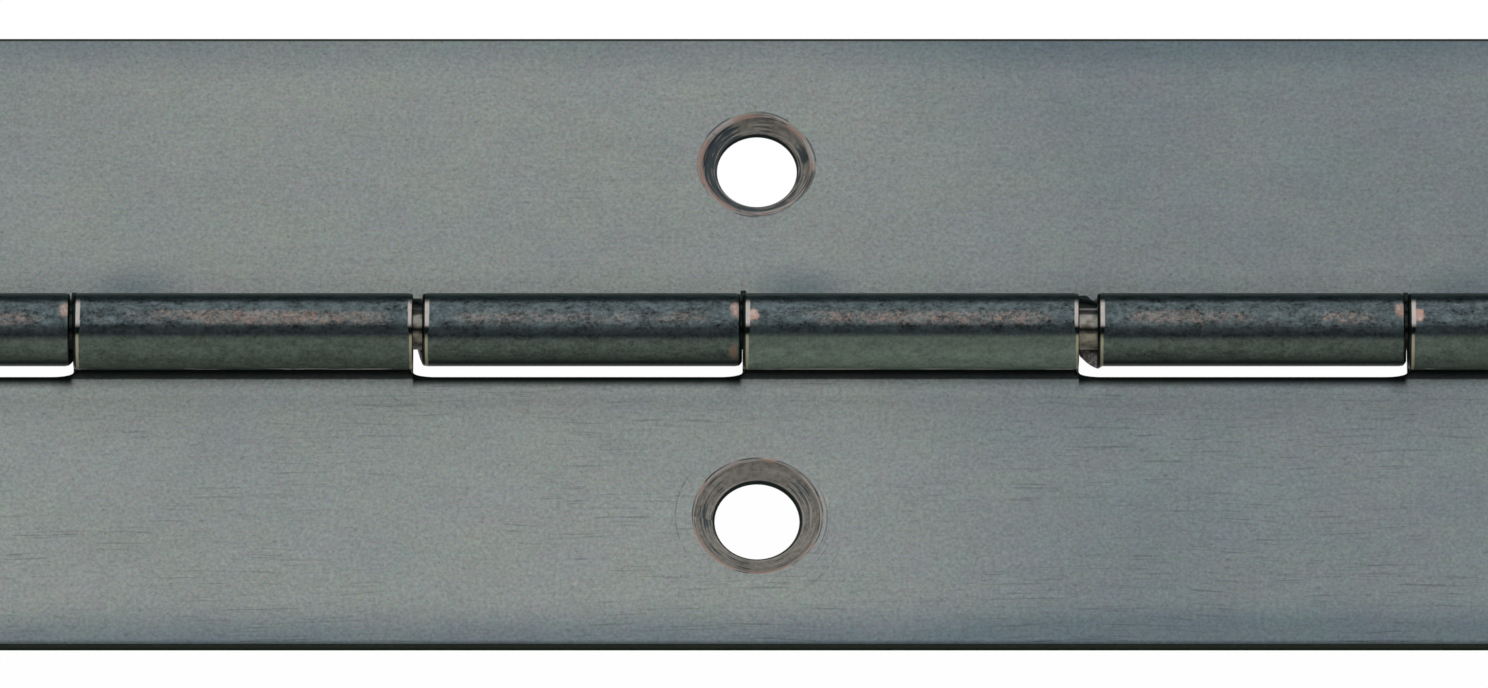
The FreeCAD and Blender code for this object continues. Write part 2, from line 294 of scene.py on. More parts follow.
def slit(bm, axis, place, wanted):
    """Cuts the wanted faces along the plane where one coordinate has this value."""
    normal = Vector((0.0, 0.0, 0.0))
    normal[axis] = 1.0
    faces = [face for face in bm.faces if wanted(face.calc_center_median())]
    bmesh.ops.bisect_plane(bm, geom=part_of(faces), dist=1e-5, plane_co=normal * place, plane_no=normal)


def extrude(bm, edges):
    """Extrudes edges and returns the new corners and the new edges between them."""
    made = bmesh.ops.extrude_edge_only(bm, edges=edges)["geom"]
    verts = set(only(BMVert, made))
    return verts, [edge for edge in only(BMEdge, made) if set(edge.verts) <= verts]


def pull(bm, edges, move):
    """Extrudes edges by a vector and returns the new ones."""
    verts, edges = extrude(bm, edges)
    bmesh.ops.translate(bm, verts=list(verts), vec=move)
    return edges


def closest(bm, x, y):
    """The corner of the flat blank nearest to a place."""
    flat = [vert for vert in bm.verts if abs(vert.co.z) < NEAR]
    return min(flat, key=lambda vert: (vert.co.x - x) ** 2 + (vert.co.y - y) ** 2)


def fill_corner(bm, size, x, way):
    """Rounds the corner between a tab's side at x and the front of the notch beside it."""
    front = -size.notch
    radius = size.corner

    def ends():
        return closest(bm, x + way * size.reach, front), closest(bm, x, front + radius)

    start, end = ends()
    inner = closest(bm, x, front)
    seed = bm.verts.new((x + way * radius, front, 0.0))
    before = set(bm.edges)
    centre = (x + way * radius, front + radius, 0.0)
    made = bmesh.ops.spin(bm, geom=[seed], cent=centre, axis=(0, 0, 1), angle=-way * math.pi / 2, steps=8)
    last = only(BMVert, made["geom_last"])[0]
    arc = {edge for edge in bm.edges if edge not in before}
    verts = list({vert for edge in arc for vert in edge.verts})
    bmesh.ops.translate(bm, verts=verts, vec=(-x, 0.0, 0.0))
    bmesh.ops.scale(bm, verts=verts, vec=(size.corner_stretch, 1.0, 1.0))
    bmesh.ops.translate(bm, verts=verts, vec=(x, 0.0, 0.0))
    bmesh.ops.pointmerge(bm, verts=[seed, start], merge_co=start.co)
    bmesh.ops.pointmerge(bm, verts=[last, end], merge_co=end.co)
    start, end = ends()
    sides = [edge for edge in inner.link_edges if start in edge.verts or end in edge.verts]
    bmesh.ops.contextual_create(bm, geom=[edge for edge in arc if edge.is_valid] + sides)


def in_cell(size, place):
    """Whether a place is in the square cell round one of the leaf's holes."""
    room = CELL + NEAR
    return abs(place.y + size.hole_distance) < room and any(abs(place.x - x) < room for x in size.holes)


def leaf_blank(size):
    """The flat blank's back: a rectangle with slits for its tabs and holes, and the holes' cells cut out."""
    bm = bmesh.new()
    bmesh.ops.create_grid(bm, x_segments=1, y_segments=1, size=0.5)
    front = -size.notch
    back = -size.leaf_width
    bmesh.ops.scale(bm, verts=bm.verts, vec=(2 * size.half_length, front - back, 1.0))
    bmesh.ops.translate(bm, verts=bm.verts, vec=(0.0, (front + back) / 2, 0.0))
    strip = front - STRIP
    slit(bm, 1, strip, lambda place: True)
    ring = size.burnish_width
    for left, right in size.tabs:
        for x in (left - size.reach, left, left + ring, right - ring, right, right + size.reach):
            if abs(x) < size.half_length - NEAR:
                slit(bm, 0, x, lambda place: place.y > strip)
    cuts = [(0, x) for x in size.holes] + [(1, -size.hole_distance)]
    for axis, middle in cuts:
        for edge in (middle - CELL, middle + CELL):
            slit(bm, axis, edge, lambda place: place.y < strip)
    cells = [face for face in bm.faces if in_cell(size, face.calc_center_median())]
    bmesh.ops.delete(bm, geom=cells, context="FACES")
    return bm


def curl_tabs(bm, size):
    """Extends the tabs from the front of the blank and rolls them round the pin."""
    front = -size.notch
    radius = size.barrel_radius
    past = size.curl_past

    def on_tab(edge):
        middle = middle_of(edge)
        level = all(abs(vert.co.y - front) < NEAR for vert in edge.verts)
        return level and any(left < middle.x < right for left, right in size.tabs)

    edges = pull(bm, [edge for edge in bm.edges if on_tab(edge)], (0.0, size.corner, 0.0))
    edges = pull(bm, edges, (0.0, size.notch - size.corner, 0.0))
    turn = math.pi * 1.5 + past
    steps = size.curl_steps
    rolled = bmesh.ops.spin(bm, geom=edges, cent=(0, 0, radius), axis=(1, 0, 0), angle=turn, steps=steps)
    edges = only(BMEdge, rolled["geom_last"])
    drop = radius - radius * math.sin(past) - size.thickness - size.curl_gap
    pull(bm, edges, (0.0, drop * math.tan(past), -drop))


def lay_ring(bm, edges, centre, reach, z, uneven=0.0):
    """Extrudes a closed loop and lays it on a circle; without a reach, back on the square opening."""
    spoke = bm.verts.layers.float_vector["spoke"]
    verts, edges = extrude(bm, edges)
    for vert in verts:
        away = Vector(vert[spoke])
        if reach is not None:
            turn = math.atan2(away.y, away.x)
            waves = FOUR_WAVES * math.cos(4 * turn) + ONE_WAVE * math.cos(turn + WAVE_TURN)
            waves += SEVEN_WAVES * math.sin(7 * turn)
            away = away.normalized() * reach * (1.0 + uneven * waves)
        vert.co = (centre[0] + away.x, centre[1] + away.y, z)
    return edges


def split_opening(bm, size, x, z):
    """Divides the border of the square opening at one height and returns its edges."""
    border = [edge for edge in bm.edges if edge.is_boundary and is_round_hole(size, edge, x, z)]
    cuts = size.hole_steps // len(border) - 1
    split = bmesh.ops.subdivide_edges(bm, edges=border, cuts=cuts)["geom_split"]
    return [edge for edge in only(BMEdge, split) if edge.is_boundary]


def is_round_hole(size, edge, x, z):
    """Whether an edge at this height belongs to the opening round the hole at x."""
    places = [vert.co for vert in edge.verts]
    level = all(abs(place.z - z) < NEAR and abs(place.x - x) < CELL + NEAR for place in places)
    return level and all(in_cell(size, place) for place in places)


def hole_profile(size, side):
    """A countersunk hole from the front to the back: radii, heights, and shares of the rim's waves."""
    sink, throat, top, land = size.sink, size.throat, size.thickness, size.land
    outside = sink + COLLAR
    rows = [(outside, top, 0.0)]
    rows += [(sink + out, top + above, swell) for out, above, swell in RIM + SHOULDERS[side]]
    start, edge, _ = rows[-1]
    for number, bite in enumerate(TOOL_RINGS, 1):
        along = number / (len(TOOL_RINGS) + 1)
        fall = along * (edge - land - 0.02)
        rows.append((start - along * (start - throat - 0.02), edge - fall + bite, 0.9 - 0.9 * along))
    rows += [(throat + 0.02, land + 0.02, 0.0), (throat, land - 0.02, 0.0), (throat, 0.05, 0.0)]
    return rows + [(throat + 0.05, 0.0, 0.0), (outside, 0.0, 0.0)]


def sink_hole(bm, size, x, side):
    """Works one countersunk hole down from the square opening in the front to the one in the back."""
    edges = split_opening(bm, size, x, size.thickness)
    spoke = bm.verts.layers.float_vector["spoke"]
    for vert in {vert for edge in edges for vert in edge.verts}:
        vert[spoke] = (vert.co.x - x, vert.co.y + size.hole_distance, 0.0)
    split_opening(bm, size, x, 0.0)
    for radius, z, swell in hole_profile(size, side):
        inward = (1.0 - swell) if radius < size.sink else 0.0
        middle = (x - LEAN_LEFT * inward, -size.hole_distance - size.sink_shift + size.lean_in * inward)
        edges = lay_ring(bm, edges, middle, radius, z, size.rim_waves * swell)
    lay_ring(bm, edges, (x, -size.hole_distance), None, 0.0)
    bmesh.ops.remove_doubles(bm, verts=bm.verts, dist=NEAR)


def wear_knuckles(bm, size, side):
    """Slopes the knuckles' ends, dips the tabs under the curls, flares the roots, bulges the barrel."""
    radius = size.barrel_radius
    worn = 1.0 - size.burnish_depth / radius
    bulge = size.bulge / radius
    row = -size.notch + size.corner
    for vert in bm.verts:
        x, y, z = vert.co
        up = z - radius
        reach = math.hypot(y, up)
        left, right = min(size.tabs, key=lambda tab: min(abs(x - tab[0]), abs(x - tab[1])))
        at_left = abs(x - left) < NEAR
        at_end = at_left or abs(x - right) < NEAR
        if abs(y - row) < NEAR and abs(z - size.thickness) < NEAR:
            vert.co.z -= size.crease_depth
        elif at_end and abs(reach - radius) < ON_BARREL and (y > -size.thickness or z > size.thickness):
            vert.co.y *= worn
            vert.co.z = radius + up * worn
        if side == UPPER and at_end and y > -NEAR and up < 0:
            flare_root(size, vert, (left, right), at_left, max(0.0, math.atan2(y, -up)))
        if y * side > NEAR and reach < radius + NEAR and side == UPPER:
            vert.co.y *= 1.0 + bulge
        elif y * side > NEAR and reach < radius + BESIDE_BARREL and z > size.thickness + NEAR:
            turn = math.degrees(math.atan2(-y, up))
            swell = 0.5 if reach > radius + NEAR else max(0.0, turn - BULGE_START) / BULGE_TURN
            vert.co.y *= 1.0 + bulge * swell


def flare_root(size, vert, tab, at_left, turn):
    """Widens an upper tab at its root: far where the gap beside it is wide, a little where it is narrow."""
    pair = size.tabs.index(tab)
    way = 1 if pair % 2 else -1
    wide_gap = size.wide_gap + way * size.gap_play
    left_over = max(0.0, 1.0 - turn / size.flare_turn)
    if at_left and pair % 2:
        vert.co.x -= (wide_gap - size.root_room) * min(1.0, 1.6 * left_over)
        vert.co.y += 0.16 * max(0.0, 1.0 - abs(turn - size.flare_turn) / 0.6)
    elif at_left:
        vert.co.x -= (wide_gap - 3.0 * size.root_room) * left_over ** 1.4
    elif pair < size.pairs - 1:
        room = size.root_room * (1.0 if pair % 2 else 0.4)
        narrow_gap = size.narrow_gap + way * (NEXT_SWAY - 1.0) * size.sway
        vert.co.x += (narrow_gap - room) * max(0.0, min(1.0, 3.7 * (0.97 - turn)))


def mark_cuts(bm, size):
    """Gives the faces where the sheet was cut, not rolled, an attribute that the patina reads."""
    cut = bm.faces.layers.float.new("cut")
    bm.normal_update()
    for face in bm.faces:
        middle = face.calc_center_median()
        front = middle.y < -size.notch + size.corner + NEAR and middle.z < size.thickness
        sawn = abs(face.normal.z) < 0.5 if front else abs(face.normal.x) > 0.97
        face[cut] = 1.0 if sawn and not in_cell(size, middle) else 0.0


def weigh_edges(bm, size, side):
    """Marks the sharp edges with the share of the largest rounding that each one gets."""
    weight = bm.edges.layers.float.new("bevel_weight_edge")
    free = -size.leaf_width + NEAR
    for edge in bm.edges:
        if len(edge.link_faces) != 2 or edge.calc_face_angle() < SHARP:
            continue
        middle = middle_of(edge)
        if in_cell(size, middle) and not abs(middle.x) > size.half_length - NEAR:
            continue
        notch = -size.notch - NEAR < middle.y < -size.notch + size.corner + NEAR
        round_off = size.notch_round if notch and middle.z > NEAR else size.edge_round
        if side == LOWER and middle.y < free and middle.z > size.thickness - NEAR:
            round_off = size.roll_over
        edge[weight] = round_off / size.roll_over


def leaf_sizes(sizes, side):
    """All sizes of one leaf in millimetres: the CAD model's, the properties, and what follows from them."""
    size = SimpleNamespace(**vars(CAD))
    for name in sizes.__annotations__:
        value = getattr(sizes, name)
        setattr(size, name, value / MM if sizes.bl_rna.properties[name].unit == "LENGTH" else value)
    upper = side == UPPER
    for name, pair in BY_SIDE.items():
        setattr(size, name, pair[1] if upper else pair[0])
    size.corner = size.notch_corner
    size.reach = size.corner * size.corner_stretch
    size.bulge = size.upper_bulge if upper else size.lower_bulge
    size.notch = size.barrel_radius + size.notch_clearance
    size.sink = (size.upper_sink if upper else size.lower_sink) / 2
    size.sink_shift = 0.0 if upper else size.sink_stray
    size.throat = size.hole_radius + size.throat_room
    size.holes = [size.hole_shift + way * size.hole_span / 2 for way in (-1, 0, 1)]
    half = size.half_length
    size.pitch = 2 * half / size.pairs
    size.tabs = []
    for pair in range(size.pairs):
        start = -half + pair * size.pitch
        way = 1 if pair % 2 else -1
        end = start + size.lower_knuckle - way * END_SWAY * size.sway
        if upper:
            left = end + size.wide_gap + way * size.gap_play
            right = start + size.pitch - size.lead - size.narrow_gap - way * NEXT_SWAY * size.sway
            size.tabs.append((left, right))
        else:
            size.tabs.append((start - size.lead + way * size.sway, end))
    if upper:
        size.tabs[-1] = (size.tabs[-1][0], half)
    else:
        size.tabs[0] = (-half, size.tabs[0][1])
    return size


def add_object(name, data):
    """A new object in the scene."""
    made = bpy.data.objects.new(name, data)
    bpy.context.scene.collection.objects.link(made)
    return made


def link_mesh(bm, name):
    """Turns a worked mesh into an object in the scene."""
    mesh = bpy.data.meshes.new(name)
    bm.to_mesh(mesh)
    bm.free()
    return add_object(name, mesh)


def finish_mesh(bm, name, side=LOWER):
    """A smooth object in metres; the upper leaf is the mirror of the way it was worked."""
    bmesh.ops.scale(bm, verts=bm.verts, vec=(MM, -side * MM, MM))
    bmesh.ops.recalc_face_normals(bm, faces=bm.faces)
    made = link_mesh(bm, name)
    made.data.shade_smooth()
    return made


def lead_by_flats(piece):
    """Lets the largest faces lead the shading of their corners."""
    shading = piece.modifiers.new("Flat faces lead", "WEIGHTED_NORMAL")
    shading.mode = "FACE_AREA"


def make_leaf(name, side, sizes):
    """One leaf, worked as the lower one lies, with its knuckles and countersunk holes."""
    size = leaf_sizes(sizes, side)
    bm = leaf_blank(size)
    curl_tabs(bm, size)
    half = size.half_length
    for left, right in size.tabs:
        if left > -half + NEAR:
            fill_corner(bm, size, left, -1)
        if right < half - NEAR and side == LOWER:
            fill_corner(bm, size, right, 1)
    bmesh.ops.recalc_face_normals(bm, faces=bm.faces)
    if max(bm.faces, key=lambda face: face.calc_area()).normal.z > 0:
        bmesh.ops.reverse_faces(bm, faces=bm.faces)
    bmesh.ops.solidify(bm, geom=bm.faces, thickness=size.thickness)
    walls = [f for f in bm.faces if abs(f.normal.z) < 0.5 and in_cell(size, f.calc_center_median())]
    bmesh.ops.delete(bm, geom=walls, context="FACES")
    bm.verts.layers.float_vector.new("spoke")
    for x in size.holes:
        sink_hole(bm, size, x, side)
    bm.verts.layers.float_vector.remove(bm.verts.layers.float_vector["spoke"])
    wear_knuckles(bm, size, side)
    mark_cuts(bm, size)
    weigh_edges(bm, size, side)
    leaf = finish_mesh(bm, name, side)
    rounding = leaf.modifiers.new("Tumbled edges", "BEVEL")
    rounding.limit_method = "WEIGHT"
    rounding.width = sizes.roll_over
    rounding.segments = 4
    rounding.use_clamp_overlap = False
    lead_by_flats(leaf)
    return leaf


def make_pin(name, sizes):
    """The pin: a profile along its axis, spun round it."""
    size = leaf_sizes(sizes, LOWER)
    left, right = size.pin_ends
    bore = size.barrel_radius - size.thickness
    slim = bore - size.pin_slack
    cut = size.pin_chamfer
    grip = left + size.pin_grip
    profile = [(left, 0.0), (left, bore - cut), (left + 0.03, bore - cut + 0.04), (left + cut, bore)]
    profile += [(grip, bore), (grip + 0.1, slim), (right - cut, slim), (right - 0.03, slim - cut + 0.04)]
    profile += [(right, slim - cut), (right, 0.0)]
    bm = bmesh.new()
    verts = [bm.verts.new((x, 0.0, size.barrel_radius + radius)) for x, radius in profile]
    edges = [bm.edges.new(pair) for pair in zip(verts, verts[1:])]
    centre = (0, 0, size.barrel_radius)
    bmesh.ops.spin(
        bm, geom=verts + edges, cent=centre, axis=(1, 0, 0), angle=2 * math.pi, steps=96, use_merge=True
    )
    bmesh.ops.remove_doubles(bm, verts=bm.verts, dist=1e-5)
    pin = finish_mesh(bm, name)
    lead_by_flats(pin)
    return pin


# ---------------------------------------------------------------- shader tools


def both_ways(operation):
    """The two methods of an operator: for a signal on its left, and for a signal on its right."""
    return (
        lambda signal, other: signal.shader.math(operation, signal, other),
        lambda signal, other: signal.shader.math(operation, other, signal),
    )


def mixed(share, below, above):
    """Two values mixed by a share."""
    return below + (above - below) * share


class Signal:
    """A socket that can be used in sums: operators on it add Math nodes."""

    __add__, __radd__ = both_ways("ADD")
    __sub__, __rsub__ = both_ways("SUBTRACT")
    __mul__, __rmul__ = both_ways("MULTIPLY")
    __truediv__ = both_ways("DIVIDE")[0]

    def __init__(self, shader, socket):
        self.shader = shader
        self.socket = socket

    def __abs__(self):
        return self.shader.math("ABSOLUTE", self)

    def out(self, name):
        """Another output of the same node."""
        return Signal(self.shader, self.socket.node.outputs[name])

    def least(self, other):
        """The smaller of two values."""
        return self.shader.math("MINIMUM", self, other)

    def most(self, other):
        """The larger of two values."""
        return self.shader.math("MAXIMUM", self, other)

    def clear(self):
        """The value held between nothing and one."""
        return self.shader.node("Clamp", {"Value": self})

    def stray(self, amount):
        """How far noise strays to either side of its middle, times an amount."""
        return (self - 0.5) * amount

    def rise(self, start, end):
        """Nothing at start, one at end, and a smooth step between; start may be the larger."""
        low, high, first, last = (start, end, 0.0, 1.0) if start < end else (end, start, 1.0, 0.0)
        inputs = {"Value": self, "From Min": low, "From Max": high, "To Min": first, "To Max": last}
        return self.shader.node("MapRange", inputs, interpolation_type="SMOOTHSTEP")

    def hump(self, middle, spread):
        """A smooth bump of height one round a value."""
        return abs(self - middle).rise(spread, 0.0)


class Shader:
    """One material, the nodes in it and the colour that they have laid so far."""

    def __init__(self, name, finish=None, base=None):
        self.material = bpy.data.materials.new(name)
        self.material.use_nodes = True
        self.tree = self.material.node_tree
        self.tree.nodes.clear()
        self.tints = {}
        if finish is not None:
            self.tints = {key: tuple(getattr(finish, key)) for key in finish.__annotations__}
        self.tint_now = base
        place = self.node("TexCoord", {}, "Object")
        self.place = self.node("VectorMath", {0: place, "Scale": 1.0 / MM}, operation="SCALE")
        parts = self.node("SeparateXYZ", {0: self.place})
        self.x, self.y, self.z = (parts.out(axis) for axis in "XYZ")

    def node(self, kind, inputs, output=0, **settings):
        """A node of one kind with its sockets' values or links and its settings."""
        made = self.tree.nodes.new("ShaderNode" + kind)
        for name, value in settings.items():
            setattr(made, name, value)
        for name, value in inputs.items():
            socket = made.inputs[name]
            if isinstance(value, Signal):
                self.tree.links.new(value.socket, socket)
            elif socket.type == "RGBA":
                socket.default_value = (*value, 1.0)
            else:
                socket.default_value = value
        return Signal(self, made.outputs[output]) if made.outputs else made

    def math(self, operation, *values):
        """A Math node on these values."""
        return self.node("Math", dict(enumerate(values)), operation=operation)

    def turned(self, up):
        """How far round the pin a place is, in degrees from straight up towards the upper leaf."""
        return self.math("ARCTAN2", self.y, up) * math.degrees(1.0)

    def odd_pair(self, start, pitch):
        """One in every second pair of knuckles, from a distance along the hinge."""
        return self.math("FLOORED_MODULO", start / pitch, 2.0).rise(0.9999, 1.0001)

    def noise_at(self, place, detail, roughness, output="Fac"):
        """Noise at a place that is scaled already."""
        inputs = {"Vector": place, "Scale": 1.0, "Detail": detail, "Roughness": roughness}
        return self.node("TexNoise", inputs, output)

    def noise(self, size, stretch=1.0, detail=2.0, roughness=0.5, shift=0.0, output="Fac", across=1.0):
        """Noise with features about this many millimetres wide, stretched along the hinge or across it."""
        scale = tuple(1.0 / (size * way) for way in (stretch, across, 1.0))
        inputs = {"Vector": self.place, "Location": (shift, 0.7 * shift, 0.0), "Scale": scale}
        return self.noise_at(self.node("Mapping", inputs), detail, roughness, output)

    def cells(self, size, shift, output="Distance"):
        """Voronoi cells of about this many millimetres."""
        inputs = {"Vector": self.place, "Location": (shift, shift, 0.0), "Scale": (1.0 / size,) * 3}
        place = self.node("Mapping", inputs)
        return self.node("TexVoronoi", {"Vector": place, "Scale": 1.0}, output)

    def blend(self, share, below, above, way="MIX"):
        """Two colours, or tints by their names, mixed by a share."""
        below, above = (self.tints[tint] if isinstance(tint, str) else tint for tint in (below, above))
        inputs = {0: share, 6: below, 7: above}
        return self.node("Mix", inputs, 2, data_type="RGBA", blend_type=way, clamp_factor=True)

    def coat(self, share, tint):
        """Lays a colour over what is there, by a share."""
        self.tint_now = self.blend(share, self.tint_now, tint)

    def shade(self, colour_now, tone):
        """A colour times a brightness."""
        grey = self.node("CombineColor", {0: tone, 1: tone, 2: tone})
        return self.blend(1.0, colour_now, grey, "MULTIPLY")

    def close(self, surface):
        """Links a surface to the output and returns the material."""
        self.node("OutputMaterial", {"Surface": surface})
        return self.material

    def finish(self, inputs, height, depth, strength):
        """The Principled shader with a bump from a height in millimetres."""
        relief = {"Height": height, "Strength": strength, "Distance": depth * MM}
        inputs["Normal"] = self.node("Bump", relief)
        return self.close(self.node("BsdfPrincipled", inputs))


# ---------------------------------------------------------------- materials


class LeafFinish(Shader):
    """The patina of one leaf, the wear that its flats, knuckles, edges and holes get, and the light and
    shade painted on them.
    """

    def __init__(self, name, side, sizes, finish):
        super().__init__(name, finish, "leaf_grey")
        self.side = side
        self.size = size = leaf_sizes(sizes, side)
        radius = size.barrel_radius
        self.out_y = self.y * side
        self.up = self.z - radius
        self.reach = self.math("SQRT", self.y * self.y + self.up * self.up)
        self.turn = self.turned(self.up)
        limit = radius + size.bulge
        barrel = self.reach.rise(limit + 0.10, limit + 0.06) * self.out_y.rise(limit + 0.12, limit + 0.04)
        self.barrel = barrel * (1.0 - self.over(0.03, -0.03) * self.out_y.rise(-0.3, 0.2))
        self.inner = self.reach.rise(radius - 0.14, radius - 0.20) * self.barrel
        self.flat = 1.0 - self.barrel
        self.cut = self.node("Attribute", {}, "Fac", attribute_name="cut")
        self.grain = self.noise(0.145, 1.0, 4.0, 0.8, 1.0)
        self.rub = self.noise(0.10, 12.0, 3.0, 0.6, 5.0)
        self.ragged = self.noise(0.22, 1.0, 3.0, 0.6, 4.0)
        early = -EARLY * side
        start = self.x + size.half_length + early
        self.step = self.math("FLOORED_MODULO", start, size.pitch) - early
        self.is_odd = self.odd_pair(start, size.pitch)
        odd, even = ([edge + size.half_length - n * size.pitch for edge in size.tabs[n]] for n in (1, 2))
        self.from_left = self.step - mixed(self.is_odd, even[0], odd[0])
        self.from_right = mixed(self.is_odd, even[1], odd[1]) - self.step

    def over(self, start, end):
        """A smooth step in the height over the leaf's front."""
        return self.z.rise(self.size.thickness + start, self.size.thickness + end)

    def tinge(self, size, share):
        """Shifts what is there towards other hues in patches."""
        hues = self.noise(size, 1.5, 2.0, 0.5, 23.0, "Color")
        hues = self.node("VectorMath", {0: hues, "Scale": 2.0}, operation="SCALE")
        self.tint_now = self.blend(share, self.tint_now, hues, "MULTIPLY")

    def dots(self, size, shift, edge, kept):
        """Round dots in some of the cells of a size."""
        lot = self.node("SeparateColor", {0: self.cells(size, shift, "Color")})
        return self.cells(size, shift).rise(*edge) * lot.rise(*kept)

    def lines(self, width, stretch, shift, bend):
        """Noise drawn out along the hinge, whose lines wander a little."""
        along = self.x / (width * stretch)
        bent = self.node("CombineXYZ", {0: along, 1: (self.y + bend) / width, 2: self.z})
        place = self.node("VectorMath", {0: bent, 1: (shift, shift, 0.0)}, operation="ADD")
        return self.noise_at(place, 2.0, 0.55)

    def lay_flats(self):
        """Satin patina: it deepens towards the free edge, the right end and in clouds; beside the knuckles
        it is painted lighter on the lower leaf and darker on the upper, as painted light and shade.
        """
        clouds = self.noise(11.0, 1.7, 3.0, 0.55, 3.1 * self.side)
        haze = self.noise(2.0, 1.6, 4.0, 0.6, 7.7)
        near_edge = (self.size.leaf_width - self.out_y).rise(2.1, -0.1)
        deep = self.x.rise(2.0, 16.0) * 0.46 + near_edge * self.size.deepening
        self.coat((deep + clouds.stray(0.55) + haze.stray(0.35) + 0.07).clear(), "leaf_blue")
        tone = 1.0 + self.grain.stray(1.40) + self.rub.stray(self.size.rub)
        if self.side == UPPER:
            smudge = self.step.hump(2.2 + self.size.pitch, 2.8) * self.out_y.hump(2.1, 1.6)
            self.coat(smudge * 0.75, "leaf_blue")
            # Painted shade: darker beside the knuckles.
            tone = tone - self.out_y.rise(3.2, 2.0) * 0.13
        else:
            # Painted light: lighter beside the knuckles, against the shade they cast.
            tone = tone * (1.05 + self.out_y.rise(2.75, 1.95) * 0.50)
        self.tint_now = self.shade(self.tint_now, tone)
        self.tinge(1.7, 0.06)
        self.tinge(0.14, 0.16)

    def lay_marks(self):
        """Dots, pale chips and fine lengthwise scratches on the flats; returns how deep they are."""
        spots = self.dots(1.4, 2.0 * self.side, (0.055, 0.015), (0.50, 0.55))
        lines = self.lines(0.075, 30.0, 13.0, self.noise(9.0, 1.0, 1.0, 0.4, 33.0) * 1.2)
        field = self.noise(4.5, 1.8, 2.0, 0.5, 21.0)
        if self.side == LOWER:
            scratches = lines.rise(0.58, 0.70) * field.rise(0.38, 0.56)
        else:
            scratches = lines.rise(0.64, 0.76) * field.rise(0.50, 0.66) * 0.6
        flecks = self.noise(0.15, 1.7, 2.0, 0.6, 51.0).rise(0.62, 0.74)
        marks = spots.most(scratches * 0.75).most(flecks * (0.25 + field * 0.6)) * self.flat
        self.coat(marks * 0.42, "soot")
        chips = self.dots(5.2, 6.0, (0.028, 0.012), (0.70, 0.74)) * self.flat
        self.coat(chips * 0.7, "bare")
        return marks

    def lay_knuckles(self):
        """Dark burnished knuckles with light and shade painted by how they face; returns where copper, their
        front and their widened roots show.
        """
        size, turn = self.size, self.turn
        index = self.math("FLOOR", (self.x + size.half_length) / (size.pitch / 2))
        glow, use = (
            self.node("TexWhiteNoise", {"W": index + seed}, "Value", noise_dimensions="1D") for seed in SEEDS
        )
        mottle = self.noise(0.36, 1.7, 5.0, 0.8, 2.0)
        front = (turn + mottle.stray(14.0) - glow * 3.0 + self.size.front_turn).rise(-35.0, -48.0)
        rear_shading = (turn + mottle.stray(12.0)).rise(24.0, 31.0)
        tone = 1.0 + mottle.stray(4.0) * (1.0 - front * 0.44) + self.grain.stray(2.6) * (1.0 - front * 0.2)
        tone = tone + (glow - 0.42) * 0.6 * front
        # Painted reflection bands: darker round 20 degrees in front of the top, lighter round 31 degrees.
        tone = tone - turn.hump(-20.0, 9.0) * 0.18 + turn.hump(-31.0, 9.0) * 0.5
        # Painted light: some lower knuckles are lighter low on their front.
        if self.side == LOWER:
            tone = tone * (1.0 + glow.rise(0.5, 1.0) * turn.rise(-50.0, -85.0) * 0.6)
        skin = self.shade(self.blend(front, "crest", "front"), tone)
        # Painted dark reflection band along the back of the crest; further back the knuckles turn leaf grey.
        skin = self.blend(rear_shading * (0.62 - turn.rise(33.0, 46.0) * 0.62), skin, "soot")
        skin = self.blend(turn.rise(34.0, 50.0) * 0.7, skin, "leaf_grey")
        if self.side == UPPER:
            # Painted shade on the underside of the upper leaf's knuckles.
            beneath = turn.rise(-150.0, -122.0)
            skin = self.blend(turn.rise(-66.0, -106.0) * beneath * 0.95, skin, "soot")
            skin = self.blend(turn.rise(-80.0, -94.0) * beneath * 0.85, skin, "soot")
        self.coat(self.barrel, skin)

        end_gap = self.from_left.least(self.from_right)
        rubbed = self.lay_copper(use - glow.rise(0.5, 0.7) * 0.30, end_gap)
        self.lay_blobs(glow, use)
        self.lay_rings()
        self.coat(self.inner * end_gap.rise(1.5, 1.0), "stain")
        if self.side == UPPER:
            # Painted light: the widened roots lie in the pin's shade and are laid steel and pale metal, with
            # less metal, to light them.
            root = self.from_left.rise(0.0, -0.04) * self.up.rise(0.0, -0.2) * self.barrel
            worn = self.noise(0.16, 1.0, 3.0, 0.7, 71.0).rise(0.42, 0.62)
            self.coat(root, self.blend(worn, "steel", "pale"))
            return rubbed, front, root
        nicks = self.noise(0.5, 3.0, 3.0, 0.6, 61.0).rise(0.50, 0.56)
        front_side = self.out_y.rise(0.2, 0.6) * self.barrel
        # Painted shade low on the front, just above the leaf.
        self.coat(self.over(0.34, 0.18) * front_side * 0.10, "soot")
        self.coat(nicks * self.over(0.50, 0.38) * self.over(0.20, 0.28) * front_side, "pale")
        return rubbed, front, 0.0

    def lay_copper(self, use, end_gap):
        """Specks of copper and a brown film where the crest is handled most; returns how bare it is."""
        patch = self.noise(2.6, 1.6, 3.0, 0.6, 11.0 + self.side)
        speck = self.noise(0.13, 1.6, 5.0, 0.75, 9.0)
        bared = patch.rise(0.28, 0.58) * end_gap.rise(0.4, 2.2)
        bared = bared * (0.25 + use * 0.85) * self.turn.hump(-9.0, 19.0)
        rubbed = (speck * 0.6 + self.grain * 0.4 + bared * 0.08).rise(0.47, 0.66)
        rubbed = rubbed * bared.rise(0.0, 0.4) * self.barrel
        self.coat(bared * 0.20 * self.barrel, "brown")
        olive = self.noise(0.30, 1.5, 3.0, 0.6, 29.0).rise(0.42, 0.60)
        self.coat(rubbed * 0.50, self.blend(olive * 0.7, "copper", "olive"))
        return rubbed

